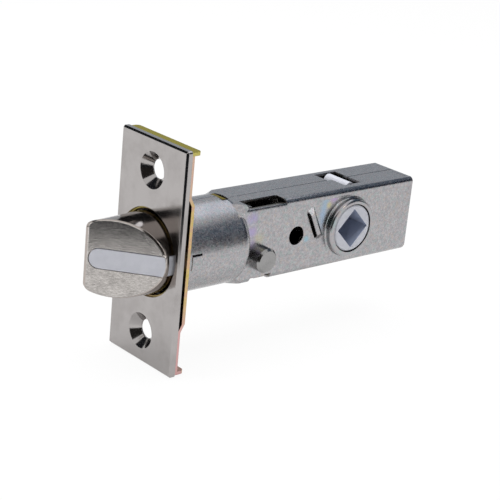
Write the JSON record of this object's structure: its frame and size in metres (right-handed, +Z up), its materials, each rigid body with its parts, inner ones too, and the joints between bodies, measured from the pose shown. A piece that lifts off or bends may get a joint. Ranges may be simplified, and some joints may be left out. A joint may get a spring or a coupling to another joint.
{
  "type": "passage knob latch",
  "caption": "Tubular passage latch: bevelled sprung bolt with nylon strip, flat face plate, pressed two-shell case and a square-holed hub that draws the bolt back.",
  "frame": {"origin": "centre of the face plate's front face, on the bolt's axis, midway between the two screw holes", "axes": "+X back into the door along the case; +Z up along the face plate's length; -Y to the side with the pivot pin's head"},
  "size_m": [0.0986, 0.0254, 0.0572],
  "materials": {
    "satin_nickel": "satin",
    "yellow_zinc": "yellow chromate on zinc",
    "bright_zinc": "bright zinc plate, faintly iridescent",
    "pin_steel": "turned, bright",
    "plain_steel": "stamped, satin",
    "spring_steel": "drawn wire",
    "nylon": "moulded, semi-gloss"
  },
  "bodies": {
    "case": {"face_plate": "satin_nickel", "backing_plate": "yellow_zinc", "case_near_half": "bright_zinc", "case_far_half": "bright_zinc", "lever_pivot_pin": "pin_steel", "pivot_washer": "plain_steel", "pivot_sleeve": "plain_steel", "bolt_spring_seat": "yellow_zinc", "bolt_spring": "spring_steel", "bar_return_spring": "spring_steel"},
    "bolt": {"latch_bolt": "satin_nickel", "bolt_insert": "nylon", "bolt_tail": "plain_steel"},
    "lever": {"retractor_lever": "plain_steel", "lever_stud": "pin_steel"},
    "bar": {"retractor_bar": "plain_steel"},
    "hub": {"spindle_hub": "nylon"}
  },
  "joints": [
    {"name": "bolt_slide", "type": "slide", "parent": "case", "child": "bolt", "axis": [1, 0, 0], "range_m": [0, 0.0144], "stiffness_N_per_m": 350, "springref_m": -0.01, "deforming": ["bolt_spring"]},
    {"name": "lever_swing", "type": "hinge", "parent": "case", "child": "lever", "pos_m": [0.0302, 0, -0.0039], "axis": [0, 1, 0], "range_deg": [0, 70.74]},
    {"name": "bar_slide", "type": "slide", "parent": "case", "child": "bar", "axis": [1, 0, 0], "range_m": [0, 0.00519], "deforming": ["bar_return_spring"]},
    {"name": "hub_turn", "type": "hinge", "parent": "case", "child": "hub", "pos_m": [0.06032, 0, 0], "axis": [0, 1, 0], "range_deg": [0, 39.28]}
  ],
  "couplings": [
    {"joint": "lever_swing", "follows": "bolt_slide", "rad_per_m": 85.682},
    {"joint": "bar_slide", "follows": "bolt_slide", "ratio": 0.36},
    {"joint": "hub_turn", "follows": "bolt_slide", "rad_per_m": 47.553}
  ]
}
